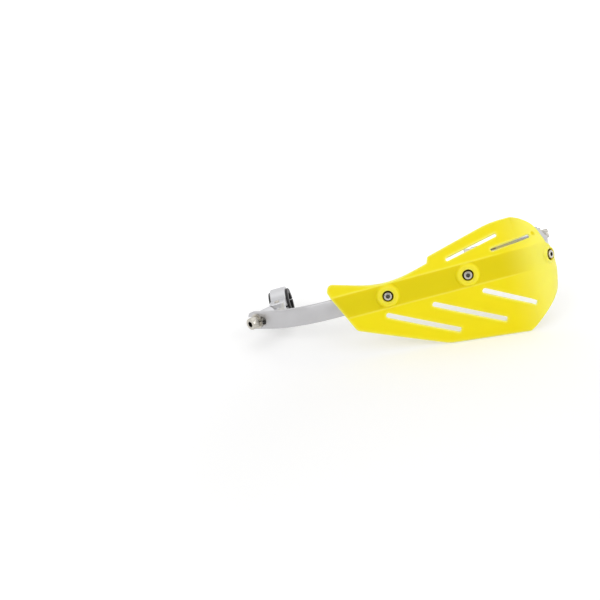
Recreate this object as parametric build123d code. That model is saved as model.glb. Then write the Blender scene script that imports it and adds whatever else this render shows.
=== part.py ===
from build123d import *
import os
from math import atan, atan2, cos, degrees, hypot, radians, sin, tan

# Right-hand guard for a handlebar: a moulded shield on a bent flat bar, with a
# clamp on the bar's inner end and an expander on its outer end.
# It is drawn level first: X runs outboard along the front of the bar, Y runs back
# towards the handlebar and Z is up. The middle shield screw is on the Z-Y plane.
# At the end it is turned to lie on a floor as it comes to rest.

# Guard bar
BAR_WIDTH = 20.0
BAR_THICK = 6.0
FRONT_INNER = 146.0
FRONT_OUTER = 57.0
INNER_RADIUS = 110.0
INNER_ANGLE = 42.0
OUTER_RADIUS = 32.0
OUTER_ANGLE = 90.0
FORK_RUN = 36.0
FORK_DEPTH = 30.0
FORK_BOLT_INSET = 16.0
OUTER_END_INSET = 12.0
END_ROUND = 8.0

# Shield section
WALL = 3.0
BAND_HALF = 13.0
LEAN_UP_INNER = 46.0
LEAN_UP_OUTER = 38.0
LEAN_UP_END = 6.0
LEAN_LOW_INNER = -4.0
LEAN_LOW_OUTER = 9.0
CREASE_DROP = 12.0
BEND_STEPS = 6
SHIELD_SEAT = 0.1

# Shield outline: place along the bar, then rise above the upper crease
TIP = (-152.5, 15.1)
TOP_DIP = (-85.0, -1.4)
NOTCH_INNER = (-38.5, 9.0)
NOTCH_OUTER = (-36.0, 14.6)
PEAK = (36.0, 30.8)
TOP_OUTER = [(54.0, 32.6), (64.0, 30.2), (75.0, 27.0), (84.0, 20.4), (88.2, 12.0), (89.0, 5.0)]
# Shield outline: place along the bar, then height above the lower crease
OUTER_EDGE = [
    (91.0, 23.0), (98.0, 17.5), (103.0, 8.0), (106.5, -5.0), (107.5, -19.0), (104.0, -30.5), (96.0, -37.0),
]
LOW_OUTER = (51.0, -66.6)
LOWEST = (-36.0, -55.4)
LOW_INNER = (-127.5, -15.8)
TIP_ROUND = 6.0
TOP_DIP_ROUND = 95.0
LOW_INNER_ROUND = 7.0
LOW_OUTER_ROUND = 4.0
LOWEST_ROUND = 40.0
PEAK_ROUND = 60.0
NOTCH_ROUND = 2.0
TRIM_REACH = 200.0

# Shield slots: inner end, outer end
UPPER_SLOT_WIDTH = 4.2
LOWER_SLOT_WIDTH = 5.4
UPPER_SLOTS = [((-18.0, 7.2), (39.0, 18.0)), ((29.0, 5.5), (74.5, 9.2))]
LOWER_SLOTS = [
    ((11.0, -7.5), (64.0, -37.2)),
    ((-43.0, -8.2), (28.5, -46.2)),
    ((-93.0, -7.0), (-21.0, -44.2)),
]
SLOT_CORNER = 1.4
SLOT_REACH = 24.0

# Shield screws
SCREW_DIA = 5.0
INNER_SCREW = -86.0
OUTER_SCREW_ANGLE = 50.0
OUTER_SCREW_DROP = 4.0
SCREW_HEAD_DIA = 8.5
SCREW_HEAD = 3.3
SCREW_SOCKET = 4.0
BOSS_DIA = 27.0
BOSS_TOP_DIA = 22.0
OUTER_BOSS_DIA = 20.0
OUTER_BOSS_TOP_DIA = 16.0
BOSS_RISE = 2.8
COUNTERBORE_DIA = 12.0
COUNTERBORE_FLOOR = 2.6
WASHER_DIA = 11.4
WASHER_THICK = 0.9
NUT_WIDTH = 8.0
NUT_HEIGHT = 5.0
NUT_FLATS = 0.7
NUT_SEAT_DIA = 10.4
NUT_SEAT_DEPTH = 0.9
THREAD_END = 1.4

# Handlebar clamp
HANDLEBAR_DIA = 22.2
HANDLEBAR_SETBACK = 94.7
SLEEVE_DIA = 28.6
SLEEVE_SLIT = 1.6
FLANGE_DIA = 33.0
FLANGE_THICK = 2.6
RING_DIA = 39.0
RING_WIDTH = 18.0
SPLIT_GAP = 2.0
EAR_TOP = 10.0
EAR_REACH = 32.0
EAR_SCREW_INSET = 7.0
ARM_END = 9.0
ARM_CORNER = 5.0
EAR_CORNER = 2.4
CLAMP_EDGE = 1.0
CLAMP_SCREW_DIA = 6.0
CLAMP_HEAD_DIA = 10.0
CLAMP_HEAD = 6.0
CLAMP_SOCKET = 5.0

# Swivel post
POST_DIA = 18.5
POST_LENGTH = 16.0
PIVOT_REACH = 12.0
TONGUE_THICK = 8.0
TONGUE_WIDTH = 17.0
POST_BOLT_DIA = 8.0
POST_BOLT_GRIP = 13.0
POST_HEAD_DIA = 13.0
POST_HEAD = 8.0
POST_SOCKET = 6.0
POST_WASHER_DIA = 17.0
POST_WASHER_THICK = 1.6
LOCK_WASHER_DIA = 13.5
LOCK_WASHER_THICK = 2.0
LOCK_WASHER_SLIT = 1.2

# Bar-end expander
EXPANDER_DIA = 13.4
EXPANDER_LENGTH = 72.0
EXPANDER_SLIT = 1.5
EXPANDER_SLIT_LENGTH = 28.0
CONE_LENGTH = 20.0
CONE_ENGAGED = 12.0
CONE_SMALL_DIA = 9.4
CONE_LARGE_DIA = 13.2
END_BOLT_DIA = 6.0
END_HEAD_DIA = 10.0
END_HEAD = 6.0
END_SOCKET = 5.0
END_WASHER_DIA = 17.0
END_WASHER_THICK = 2.5
END_LOCK_DIA = 10.5
END_LOCK_THICK = 1.6

# Fits and small edges
HOLE_CLEARANCE = 0.25
FORK_CLEARANCE = 0.5
THREAD_CLEARANCE = 0.05
GRIP_CLEARANCE = 0.05
CONE_CLEARANCE = 0.1
EDGE = 0.6

# Rest on a floor, on the ear screw's head and the shield's two lowest corners
REST_ROLL = -8.10
REST_LEAN = -11.99

BAR_FACE = BAR_THICK / 2
SHIELD_BACK = BAR_FACE + SHIELD_SEAT
SHIELD_FACE = SHIELD_BACK + WALL
BOSS_FACE = SHIELD_FACE + BOSS_RISE
COUNTERBORE_SEAT = SHIELD_BACK + COUNTERBORE_FLOOR
HEAD_SEAT = COUNTERBORE_SEAT + WASHER_THICK
NUT_SEAT = -BAR_FACE + NUT_SEAT_DEPTH
FACE_RADIUS = OUTER_RADIUS + SHIELD_FACE
MID_BEND = OUTER_ANGLE / 2


def station(turn, x, y, height=0):
    """Plane on the bar: local X along it, local Y up, local Z out of its front."""
    a = radians(turn)
    return Plane(origin=(x, y, height), x_dir=(cos(a), sin(a), 0), z_dir=(sin(a), -cos(a), 0))


def front_station(along):
    """Station on the straight front run, at a distance from the middle screw."""
    return station(0, along, 0)


def outer_station(turn, height=0):
    """Station on the outer bend, at an angle from its start."""
    a = radians(turn)
    return station(turn, FRONT_OUTER + OUTER_RADIUS * sin(a), OUTER_RADIUS * (1 - cos(a)), height)


def fork_station(run):
    """Station on the straight fork, at a distance past the inner bend."""
    a = radians(INNER_ANGLE)
    x = -FRONT_INNER - INNER_RADIUS * sin(a) - run * cos(a)
    y = INNER_RADIUS * (1 - cos(a)) + run * sin(a)
    return station(-INNER_ANGLE, x, y)


FORK_BOLT = fork_station(FORK_RUN - FORK_BOLT_INSET)
PIVOT = FORK_BOLT.origin - FORK_BOLT.z_dir * (BAR_FACE + POST_LENGTH + PIVOT_REACH)
ARM_REACH = HANDLEBAR_SETBACK - PIVOT.Y
RING_CENTRE = Vector(PIVOT.X, HANDLEBAR_SETBACK, 0)
BAR_END = station(OUTER_ANGLE, FRONT_OUTER + OUTER_RADIUS, HANDLEBAR_SETBACK)
OUTER_SCREW = outer_station(OUTER_SCREW_ANGLE, -OUTER_SCREW_DROP)
SCREW_STATIONS = [front_station(INNER_SCREW), front_station(0), OUTER_SCREW]


def rod(diameter, bottom, top):
    """Cylinder on the local Z axis between two heights."""
    return Pos(0, 0, (bottom + top) / 2) * Cylinder(diameter / 2, top - bottom)


def block(x_range, y_range, z_range):
    """Box between pairs of limits."""
    sizes = [high - low for low, high in (x_range, y_range, z_range)]
    middle = [(low + high) / 2 for low, high in (x_range, y_range, z_range)]
    return Pos(*middle) * Box(*sizes)


def cap_screw(diameter, head_dia, head_height, socket, length):
    """Socket-head screw with its head on local +Z and its seat at Z = 0."""
    head = rod(head_dia, 0, head_height)
    head = fillet(head.edges().group_by(Axis.Z)[-1], EDGE)
    shank = rod(diameter, -length, 0)
    shank = chamfer(shank.edges().group_by(Axis.Z)[0], EDGE)
    hexagon = RegularPolygon(socket / 2, 6, major_radius=False)
    recess = Pos(0, 0, head_height / 2) * extrude(hexagon, head_height)
    return head + shank - recess


def washer(outer, bore, thick):
    """Flat ring on Z = 0."""
    return rod(outer, 0, thick) - rod(bore, -thick, 2 * thick)


def lock_washer(outer, bore, thick):
    """Ring with a slit through one side, on Z = 0."""
    slit = block((0, outer), (-LOCK_WASHER_SLIT / 2, LOCK_WASHER_SLIT / 2), (-thick, 2 * thick))
    return washer(outer, bore, thick) - slit


def lock_nut(width, height, bore):
    """Hexagon nut with a round collar, its seat at Z = 0 and its body below."""
    flats = NUT_FLATS * height
    body = extrude(RegularPolygon(width / 2, 6, major_radius=False), -flats)
    collar = rod(width - EDGE, -height, -flats)
    collar = fillet(collar.edges().group_by(Axis.Z)[0], EDGE)
    return body + collar - rod(bore, -2 * height, height)


def placed(station_plane, height, solid):
    """Solid carried to a station, lifted along its outward direction."""
    return station_plane.location * Pos(0, 0, height) * solid


def end_edges(solid, plane):
    """Edges through the bar's thickness near a station."""
    def near(edge):
        across = abs(edge.length - BAR_THICK) < EDGE
        return across and (edge.center() - plane.origin).length < BAR_WIDTH
    return solid.edges().filter_by(near)


def guard_bar():
    """Flat bar bent in plan, with a fork, three screw holes and a bar-end hole."""
    fork_end = fork_station(FORK_RUN)
    fork = Line(fork_end.origin, fork_station(0).origin)
    inner_bend = JernArc(fork @ 1, fork % 1, INNER_RADIUS, INNER_ANGLE)
    front = Line(inner_bend @ 1, front_station(FRONT_OUTER).origin)
    outer_bend = JernArc(front @ 1, front % 1, OUTER_RADIUS, OUTER_ANGLE)
    outer_end = BAR_END.origin + BAR_END.x_dir * OUTER_END_INSET
    side = Line(outer_bend @ 1, outer_end)
    path = Wire([fork, inner_bend, front, outer_bend, side])
    section = Plane(origin=path @ 0, x_dir=(0, 0, 1), z_dir=path % 0) * Rectangle(BAR_WIDTH, BAR_THICK)
    bar = sweep(section, path)
    outer_tip = Plane(origin=outer_end, x_dir=BAR_END.x_dir, z_dir=BAR_END.z_dir)
    for tip in (fork_end, outer_tip):
        bar = fillet(end_edges(bar, tip), END_ROUND)
    slot_width = POST_BOLT_DIA + 2 * FORK_CLEARANCE
    slot_bottom = fork_station(FORK_RUN - FORK_DEPTH + slot_width / 2)
    slot = Pos(-FORK_DEPTH, 0, 0) * Box(2 * FORK_DEPTH, slot_width, 2 * BAR_THICK)
    slot += rod(slot_width, -BAR_THICK, BAR_THICK)
    bar -= slot_bottom.location * slot
    for plane in SCREW_STATIONS:
        bar -= placed(plane, 0, rod(SCREW_DIA + 2 * HOLE_CLEARANCE, -BAR_THICK, BAR_THICK))
        bar -= placed(plane, NUT_SEAT, rod(NUT_SEAT_DIA, -BAR_THICK, 0))
    return bar - placed(BAR_END, 0, rod(END_BOLT_DIA + 2 * HOLE_CLEARANCE, -BAR_THICK, BAR_THICK))


def upper_slope(share):
    """Slope of the upper wing at a share of the outer bend, where it stands up."""
    start, end = tan(radians(LEAN_UP_OUTER)), tan(radians(LEAN_UP_END))
    return start + share * (end - start)


def lower_crease(share):
    """Height of the lower crease at a share of the outer bend, where it falls."""
    return -BAND_HALF - share * CREASE_DROP


def shield_section(plane, slope_up, slope_low, crease):
    """Section of the shield across the bar: upper wing, band and lower wing."""
    up, low = atan(slope_up), atan(slope_low)
    rise = PEAK[1] + WALL
    bottom = -BAND_HALF + LOW_OUTER[1] - WALL
    upper_edge = (SHIELD_FACE - rise * slope_up, BAND_HALF + rise)
    lower_edge = (SHIELD_FACE - (crease - bottom) * slope_low, bottom)
    outline = Polyline(
        upper_edge,
        (SHIELD_FACE, BAND_HALF),
        (SHIELD_FACE, crease),
        lower_edge,
        (lower_edge[0] - WALL * cos(low), lower_edge[1] + WALL * sin(low)),
        (SHIELD_BACK, crease + WALL * tan(low / 2)),
        (SHIELD_BACK, BAND_HALF - WALL * tan(up / 2)),
        (upper_edge[0] - WALL * cos(up), upper_edge[1] - WALL * sin(up)),
        close=True,
    )
    across = Plane(origin=plane.origin, x_dir=plane.z_dir, z_dir=-plane.x_dir)
    return across * make_face(outline)


def bend_section(share):
    """Section of the shield at a share of the outer bend."""
    plane = outer_station(share * OUTER_ANGLE)
    return shield_section(plane, upper_slope(share), tan(radians(LEAN_LOW_OUTER)), lower_crease(share))


def shield_blank():
    """Untrimmed shield: a run that twists slightly, then the bend, then the bosses."""
    slopes = tan(radians(LEAN_UP_INNER)), tan(radians(LEAN_LOW_INNER))
    inner = shield_section(front_station(TIP[0] - TIP_ROUND), *slopes, lower_crease(0))
    run = loft([inner, bend_section(0)], ruled=True)
    bend = loft([bend_section(step / BEND_STEPS) for step in range(BEND_STEPS + 1)])
    blank = run + bend
    front_boss = (BOSS_DIA, BOSS_TOP_DIA)
    outer_boss = (OUTER_BOSS_DIA, OUTER_BOSS_TOP_DIA)
    for plane, size in zip(SCREW_STATIONS, (front_boss, front_boss, outer_boss)):
        blank += boss(plane, *size)
    return blank


def boss(plane, base, top):
    """Low tapered pad around a shield screw."""
    height = BOSS_RISE + WALL / 2
    return placed(plane, BOSS_FACE - height / 2, Cone(base / 2, top / 2, height))


def above_upper(point):
    """Outline point given as rise above the upper crease, as place and height."""
    return (point[0], BAND_HALF + point[1])


def above_lower(point):
    """Outline point given as height above the lower crease, as place and height."""
    return (point[0], -BAND_HALF + point[1])


def rounded(face, corner, radius):
    """Sketch with the corner nearest to a point rounded."""
    return fillet(face.vertices().sort_by_distance(Vector(*corner))[0], radius)


def front_trim():
    """Outline of the shield seen from the front, as a prism along Y."""
    tip = above_upper(TIP)
    top_dip = above_upper(TOP_DIP)
    notch_inner = above_upper(NOTCH_INNER)
    notch_outer = above_upper(NOTCH_OUTER)
    peak = above_upper(PEAK)
    low_outer = above_lower(LOW_OUTER)
    lowest = above_lower(LOWEST)
    low_inner = above_lower(LOW_INNER)
    slope = (low_outer[1] - lowest[1]) / (low_outer[0] - lowest[0])
    far_low = (TRIM_REACH, low_outer[1] + slope * (TRIM_REACH - low_outer[0]))
    outline = Polyline(
        tip, top_dip, notch_inner, notch_outer, peak, (TRIM_REACH, peak[1]), far_low, lowest, low_inner,
        close=True,
    )
    face = make_face(outline)
    face = rounded(face, tip, TIP_ROUND)
    face = rounded(face, top_dip, TOP_DIP_ROUND)
    face = rounded(face, low_inner, LOW_INNER_ROUND)
    face = rounded(face, lowest, LOWEST_ROUND)
    face = rounded(face, peak, PEAK_ROUND)
    face = rounded(face, notch_outer, NOTCH_ROUND)
    return extrude(Plane.XZ * face, TRIM_REACH, both=True)


def face_point(along, height):
    """Point on the shield's outer face, on its front run or its outer bend."""
    turn = max(0.0, along - FRONT_OUTER) / FACE_RADIUS
    share = degrees(turn) / OUTER_ANGLE
    rise = max(0.0, height - BAND_HALF)
    drop = max(0.0, lower_crease(share) - height)
    out = SHIELD_FACE - rise * upper_slope(share) - drop * tan(radians(LEAN_LOW_OUTER))
    reach = OUTER_RADIUS + out
    x = min(along, FRONT_OUTER) + reach * sin(turn)
    return Vector(x, OUTER_RADIUS - reach * cos(turn), height)


def outer_trim():
    """Outline of the wrapped end, seen square to the middle of the bend."""
    view = outer_station(MID_BEND)

    def seen(along, height):
        local = view.to_local_coords(face_point(along, height))
        return (local.X, local.Y)

    top = [seen(*above_upper(point)) for point in TOP_OUTER]
    edge = [seen(*above_lower(point)) for point in OUTER_EDGE]
    low = Vector(*seen(*above_lower(LOW_OUTER)))
    below = low + (low - Vector(*edge[-1])) / 2
    curve = Spline(*(top + edge))
    rest = Polyline(
        edge[-1], (below.X, below.Y), (below.X, -TRIM_REACH), (-TRIM_REACH, -TRIM_REACH),
        (-TRIM_REACH, TRIM_REACH), (top[0][0], TRIM_REACH), top[0],
    )
    face = make_face([curve, rest])
    return extrude(view * face, TRIM_REACH, both=True)


def slot_cut(plane, start, end, width):
    """Through slot between two local points: round inner end, square outer end."""
    length = hypot(end[0] - start[0], end[1] - start[1])
    turn = degrees(atan2(end[1] - start[1], end[0] - start[0]))
    straight = length - width / 2
    strip = Pos(straight / 2, 0, 0) * Rectangle(straight, width)
    strip = fillet(strip.vertices().group_by(Axis.X)[-1], SLOT_CORNER)
    strip += Circle(width / 2)
    along = plane * Pos(*start) * Rot(0, 0, turn) * Pos(width / 2, 0, 0)
    return extrude(along * strip, SLOT_REACH, both=True)


def slot_cuts():
    """The two slots of the upper wing and the three of the lower wing."""
    lean = radians(LEAN_UP_OUTER)
    wing = Plane(
        origin=(0, -SHIELD_FACE, BAND_HALF), x_dir=(1, 0, 0), z_dir=(0, -cos(lean), sin(lean))
    )
    cuts = []
    for inner, outer in UPPER_SLOTS:
        ends = [wing.to_local_coords(face_point(*above_upper(p))) for p in (inner, outer)]
        cuts.append(slot_cut(wing, (ends[0].X, ends[0].Y), (ends[1].X, ends[1].Y), UPPER_SLOT_WIDTH))
    for inner, outer in LOWER_SLOTS:
        ends = [face_point(*above_lower(p)) for p in (inner, outer)]
        cuts.append(slot_cut(Plane.XZ, (ends[0].X, ends[0].Z), (ends[1].X, ends[1].Z), LOWER_SLOT_WIDTH))
    return cuts


def shield():
    """Moulded shield: trimmed blank with slots, counterbores and screw holes."""
    body = shield_blank() & front_trim() & outer_trim()
    low_corner = face_point(*above_lower(LOW_OUTER))
    body = fillet(body.edges().sort_by_distance(low_corner)[0], LOW_OUTER_ROUND)
    for cut in slot_cuts():
        body -= cut
    for plane in SCREW_STATIONS:
        body -= placed(plane, COUNTERBORE_SEAT, rod(COUNTERBORE_DIA, 0, BOSS_RISE + WALL))
        body -= placed(plane, 0, rod(SCREW_DIA + 2 * HOLE_CLEARANCE, 0, 2 * BOSS_FACE))
    return body


def shield_screws():
    """One screw at each shield station, long enough to pass its nut."""
    length = HEAD_SEAT - NUT_SEAT + NUT_HEIGHT + THREAD_END
    screw = cap_screw(SCREW_DIA, SCREW_HEAD_DIA, SCREW_HEAD, SCREW_SOCKET, length)
    return [placed(plane, HEAD_SEAT, screw) for plane in SCREW_STATIONS]


def shield_washers():
    """One washer on the floor of each counterbore."""
    ring = washer(WASHER_DIA, SCREW_DIA + 2 * HOLE_CLEARANCE, WASHER_THICK)
    return [placed(plane, COUNTERBORE_SEAT, ring) for plane in SCREW_STATIONS]


def shield_nuts():
    """One lock nut in each seat behind the bar."""
    nut = lock_nut(NUT_WIDTH, NUT_HEIGHT, SCREW_DIA + 2 * THREAD_CLEARANCE)
    return [placed(plane, NUT_SEAT, nut) for plane in SCREW_STATIONS]


CLAMP_AXIS = Plane(origin=RING_CENTRE, x_dir=(1, 0, 0), z_dir=(0, 0, 1))
EAR_SCREW_Y = EAR_REACH - EAR_SCREW_INSET
CLAMP_SCREW_PLACES = [(0, EAR_SCREW_Y), (0, -ARM_REACH)]


def along_handlebar(solid):
    """Solid on local Z turned to lie on the handlebar axis."""
    return Rot(0, 90, 0) * solid


def clamp_half(tapped):
    """Upper half of the clamp about its own ring centre, split plane at Z = 0."""
    half_width = RING_WIDTH / 2
    side = (-half_width, half_width)
    body = along_handlebar(rod(RING_DIA, -half_width, half_width))
    body += block(side, (0, EAR_REACH), (0, EAR_TOP))
    body += block(side, (-ARM_REACH - ARM_END, 0), (0, EAR_TOP))
    corners = body.edges().filter_by(Axis.Z).group_by(Axis.Y)
    body = fillet(corners[0], ARM_CORNER)
    corners = body.edges().filter_by(Axis.Z).group_by(Axis.Y)
    body = fillet(corners[-1], EAR_CORNER)
    body = fillet(body.edges().filter_by(lambda edge: edge.center().Z > EDGE), CLAMP_EDGE)
    body -= along_handlebar(rod(SLEEVE_DIA + 2 * GRIP_CLEARANCE, -RING_WIDTH, RING_WIDTH))
    body -= block((-RING_DIA, RING_DIA), (-2 * EAR_REACH, 2 * EAR_REACH), (-RING_DIA, SPLIT_GAP / 2))
    tongue_end = -ARM_REACH + TONGUE_WIDTH / 2 + FORK_CLEARANCE
    body -= block((-RING_DIA, RING_DIA), (-2 * EAR_REACH, tongue_end), (-RING_DIA, TONGUE_THICK / 2))
    clearance = THREAD_CLEARANCE if tapped else HOLE_CLEARANCE
    for x, y in CLAMP_SCREW_PLACES:
        body -= Pos(x, y, 0) * rod(CLAMP_SCREW_DIA + 2 * clearance, -EAR_TOP, 2 * EAR_TOP)
    return body


def clamp_upper_half():
    """Upper half, with tapped holes."""
    return CLAMP_AXIS.location * clamp_half(tapped=True)


def clamp_lower_half():
    """Lower half, with plain screw holes: the upper shape turned over the split."""
    return CLAMP_AXIS.location * mirror(clamp_half(tapped=False), Plane.XY)


def reducer_sleeve():
    """Slit sleeve that fills the ring down to the handlebar, with two flanges."""
    inside = RING_WIDTH / 2 + GRIP_CLEARANCE
    outside = inside + FLANGE_THICK
    sleeve = rod(SLEEVE_DIA, -inside, inside)
    for low, high in ((-outside, -inside), (inside, outside)):
        flange = rod(FLANGE_DIA, low, high)
        sleeve += fillet(flange.edges().filter_by(GeomType.CIRCLE), EDGE)
    sleeve -= rod(HANDLEBAR_DIA + 2 * GRIP_CLEARANCE, -2 * outside, 2 * outside)
    sleeve = along_handlebar(sleeve)
    slit = block((-2 * outside, 2 * outside), (0, FLANGE_DIA), (-SLEEVE_SLIT / 2, SLEEVE_SLIT / 2))
    return CLAMP_AXIS.location * (sleeve - slit)


def clamp_screws():
    """Two screws from below that pull the halves together, one through the tongue."""
    length = 2 * EAR_TOP + THREAD_END
    screw = cap_screw(CLAMP_SCREW_DIA, CLAMP_HEAD_DIA, CLAMP_HEAD, CLAMP_SOCKET, length)
    upside_down = Rot(180, 0, 0) * screw
    return [CLAMP_AXIS.location * Pos(x, y, -EAR_TOP) * upside_down for x, y in CLAMP_SCREW_PLACES]


def swivel_post():
    """Round post behind the fork, with a flat tongue that turns in the arm."""
    base = -BAR_FACE - POST_LENGTH
    pivot = base - PIVOT_REACH
    post = rod(POST_DIA, base, -BAR_FACE)
    post = chamfer(post.edges().filter_by(GeomType.CIRCLE), EDGE)
    half = TONGUE_THICK / 2
    tongue = block((-TONGUE_WIDTH / 2, TONGUE_WIDTH / 2), (-half, half), (pivot, base + EDGE))
    knuckle = Rot(90, 0, 0) * rod(TONGUE_WIDTH, -half, half)
    post += tongue + Pos(0, 0, pivot) * knuckle
    hole = Rot(90, 0, 0) * rod(CLAMP_SCREW_DIA + 2 * HOLE_CLEARANCE, -half * 2, half * 2)
    post -= Pos(0, 0, pivot) * hole
    post -= rod(POST_BOLT_DIA + 2 * THREAD_CLEARANCE, -BAR_FACE - POST_BOLT_GRIP - EDGE, 0)
    return placed(FORK_BOLT, 0, post)


def post_washer():
    """Flat washer on the front of the fork."""
    ring = washer(POST_WASHER_DIA, POST_BOLT_DIA + 2 * HOLE_CLEARANCE, POST_WASHER_THICK)
    return placed(FORK_BOLT, BAR_FACE, ring)


def post_lock_washer():
    """Slit spring washer under the post bolt's head."""
    ring = lock_washer(LOCK_WASHER_DIA, POST_BOLT_DIA + 2 * HOLE_CLEARANCE, LOCK_WASHER_THICK)
    return placed(FORK_BOLT, BAR_FACE + POST_WASHER_THICK, ring)


def post_bolt():
    """Bolt through the fork into the post."""
    stack = POST_WASHER_THICK + LOCK_WASHER_THICK
    length = stack + BAR_THICK + POST_BOLT_GRIP
    bolt = cap_screw(POST_BOLT_DIA, POST_HEAD_DIA, POST_HEAD, POST_SOCKET, length)
    return placed(FORK_BOLT, BAR_FACE + stack, bolt)


EXPANDER_TIP = -BAR_FACE - EXPANDER_LENGTH


def cone_body(clearance):
    """Cone about the bar-end axis, grown by a clearance for the socket it spreads."""
    small = CONE_SMALL_DIA / 2 + clearance
    large = CONE_LARGE_DIA / 2 + clearance
    middle = EXPANDER_TIP + CONE_ENGAGED - CONE_LENGTH / 2
    return Pos(0, 0, middle) * Cone(large, small, CONE_LENGTH)


def expander_sleeve():
    """Tube with a tapered, slit end that grips inside the handlebar."""
    tube = rod(EXPANDER_DIA, EXPANDER_TIP, -BAR_FACE)
    tube -= rod(END_BOLT_DIA + 2 * HOLE_CLEARANCE, 2 * EXPANDER_TIP, 0)
    tube -= cone_body(CONE_CLEARANCE)
    half = EXPANDER_SLIT / 2
    reach = (EXPANDER_TIP - EXPANDER_DIA, EXPANDER_TIP + EXPANDER_SLIT_LENGTH)
    tube -= block((-EXPANDER_DIA, EXPANDER_DIA), (-half, half), reach)
    tube -= block((-half, half), (-EXPANDER_DIA, EXPANDER_DIA), reach)
    return placed(BAR_END, 0, tube)


def expander_cone():
    """Threaded cone drawn into the sleeve by the bar-end bolt."""
    cone = cone_body(0) - rod(END_BOLT_DIA + 2 * THREAD_CLEARANCE, 2 * EXPANDER_TIP, 0)
    return placed(BAR_END, 0, cone)


def bar_end_washer():
    """Thick washer outside the bar's end."""
    ring = washer(END_WASHER_DIA, END_BOLT_DIA + 2 * HOLE_CLEARANCE, END_WASHER_THICK)
    ring = fillet(ring.edges().group_by(Axis.Z)[-1].sort_by(SortBy.LENGTH)[-1], EDGE)
    return placed(BAR_END, BAR_FACE, ring)


def bar_end_lock_washer():
    """Slit spring washer under the bar-end bolt's head."""
    ring = lock_washer(END_LOCK_DIA, END_BOLT_DIA + 2 * HOLE_CLEARANCE, END_LOCK_THICK)
    return placed(BAR_END, BAR_FACE + END_WASHER_THICK, ring)


def bar_end_bolt():
    """Long bolt through the bar's end and the sleeve into the cone."""
    seat = BAR_FACE + END_WASHER_THICK + END_LOCK_THICK
    length = seat - EXPANDER_TIP + CONE_LENGTH - CONE_ENGAGED
    bolt = cap_screw(END_BOLT_DIA, END_HEAD_DIA, END_HEAD, END_SOCKET, length)
    return placed(BAR_END, seat, bolt)


PIECES = {
    "shield": shield,
    "guard_bar": guard_bar,
    "shield_screws": shield_screws,
    "shield_washers": shield_washers,
    "shield_nuts": shield_nuts,
    "clamp_upper_half": clamp_upper_half,
    "clamp_lower_half": clamp_lower_half,
    "reducer_sleeve": reducer_sleeve,
    "clamp_screws": clamp_screws,
    "swivel_post": swivel_post,
    "post_bolt": post_bolt,
    "post_washer": post_washer,
    "post_lock_washer": post_lock_washer,
    "expander_sleeve": expander_sleeve,
    "expander_cone": expander_cone,
    "bar_end_bolt": bar_end_bolt,
    "bar_end_washer": bar_end_washer,
    "bar_end_lock_washer": bar_end_lock_washer,
}


def node_solids(made):
    """The solids of a made piece, whether it is one shape or a list of shapes."""
    shapes = made if isinstance(made, list) else [made]
    return [solid for shape in shapes for solid in shape.solids()]


def main():
    """Make every piece, turn the guard to its rest and write one file for each."""
    rest = Rot(0, REST_ROLL, 0) * Rot(REST_LEAN, 0, 0)
    nodes = {}
    for name, make in PIECES.items():
        nodes[name] = Compound([rest * solid for solid in node_solids(make())])
    box = Compound(list(nodes.values())).bounding_box()
    middle = box.center()
    to_origin = Pos(-middle.X, -middle.Y, -box.min.Z)
    os.makedirs("parts", exist_ok=True)
    for name, node in nodes.items():
        export_step(to_origin * node, f"parts/{name}.step")


main()
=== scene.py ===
import math
import bmesh
import bpy
import numpy as np
from mathutils import Matrix, Vector


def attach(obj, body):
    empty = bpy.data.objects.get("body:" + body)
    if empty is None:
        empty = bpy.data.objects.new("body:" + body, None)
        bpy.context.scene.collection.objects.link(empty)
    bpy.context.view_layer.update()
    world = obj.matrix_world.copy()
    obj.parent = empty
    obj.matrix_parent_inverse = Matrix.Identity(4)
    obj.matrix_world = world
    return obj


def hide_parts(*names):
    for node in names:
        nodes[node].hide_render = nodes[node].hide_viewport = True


# Looks of the hand guard: the shield is rebuilt as one moulded sheet with round rims, the
# screws get turned heads with deep sockets, the bar gets eased edges, and the other pieces
# keep their solids under their own finishes.
# Lengths here are millimetres in the guard's own level frame, as in the part:
# x outboard along the bar, y back to the handlebar, z up.

MM = 0.001
WHITE = (1.0, 1.0, 1.0, 1.0)
SHARP_ANGLE = math.radians(40.0)
SCREW_SHARP_ANGLE = math.radians(30.0)

# Rest of the guard on the floor
REST_ROLL = math.radians(-8.10)
REST_LEAN = math.radians(-11.99)
REST_SHIFT = np.array([70.4559, -54.4658, 71.3432])

# Bar: its eased edges, its inner bend out to the fork, and its outer bend
BAR_EDGE = 0.7
BAR_EDGE_STEPS = 3
FLAT_ANGLE = math.radians(0.5)
WELD = 0.001
HOLE_REACH = 5.0
FRONT_INNER = 146.0
INNER_RADIUS = 110.0
INNER_ANGLE = math.radians(42.0)
FORK_BOLT_RUN = 20.0
BEND_START = 57.0
BEND_RADIUS = 32.0
BEND_ANGLE = math.radians(90.0)
HANDLEBAR_SETBACK = 94.7

# Shield wall and section
WALL = 3.0
BAND_HALF = 13.0
BAND_BACK = 3.1
BAND_FACE = BAND_BACK + WALL
FACE_RADIUS = BEND_RADIUS + BAND_FACE
SLOPE_UP_TIP = math.tan(math.radians(46.0))
SLOPE_UP_BEND = math.tan(math.radians(38.0))
SLOPE_UP_END = math.tan(math.radians(6.0))
SLOPE_LOW_TIP = math.tan(math.radians(-4.0))
SLOPE_LOW_BEND = math.tan(math.radians(9.0))
TWIST_START = -158.5
CREASE_DROP = 12.0
CREASE_ROUND = 0.7
RIM = 1.1
SLOT_RIM = 0.5
RIM_STEPS = 8
RIM_SQUARENESS = 0.8
SLOT_SQUARENESS = 0.5
WING_TURN = 8.0

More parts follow.
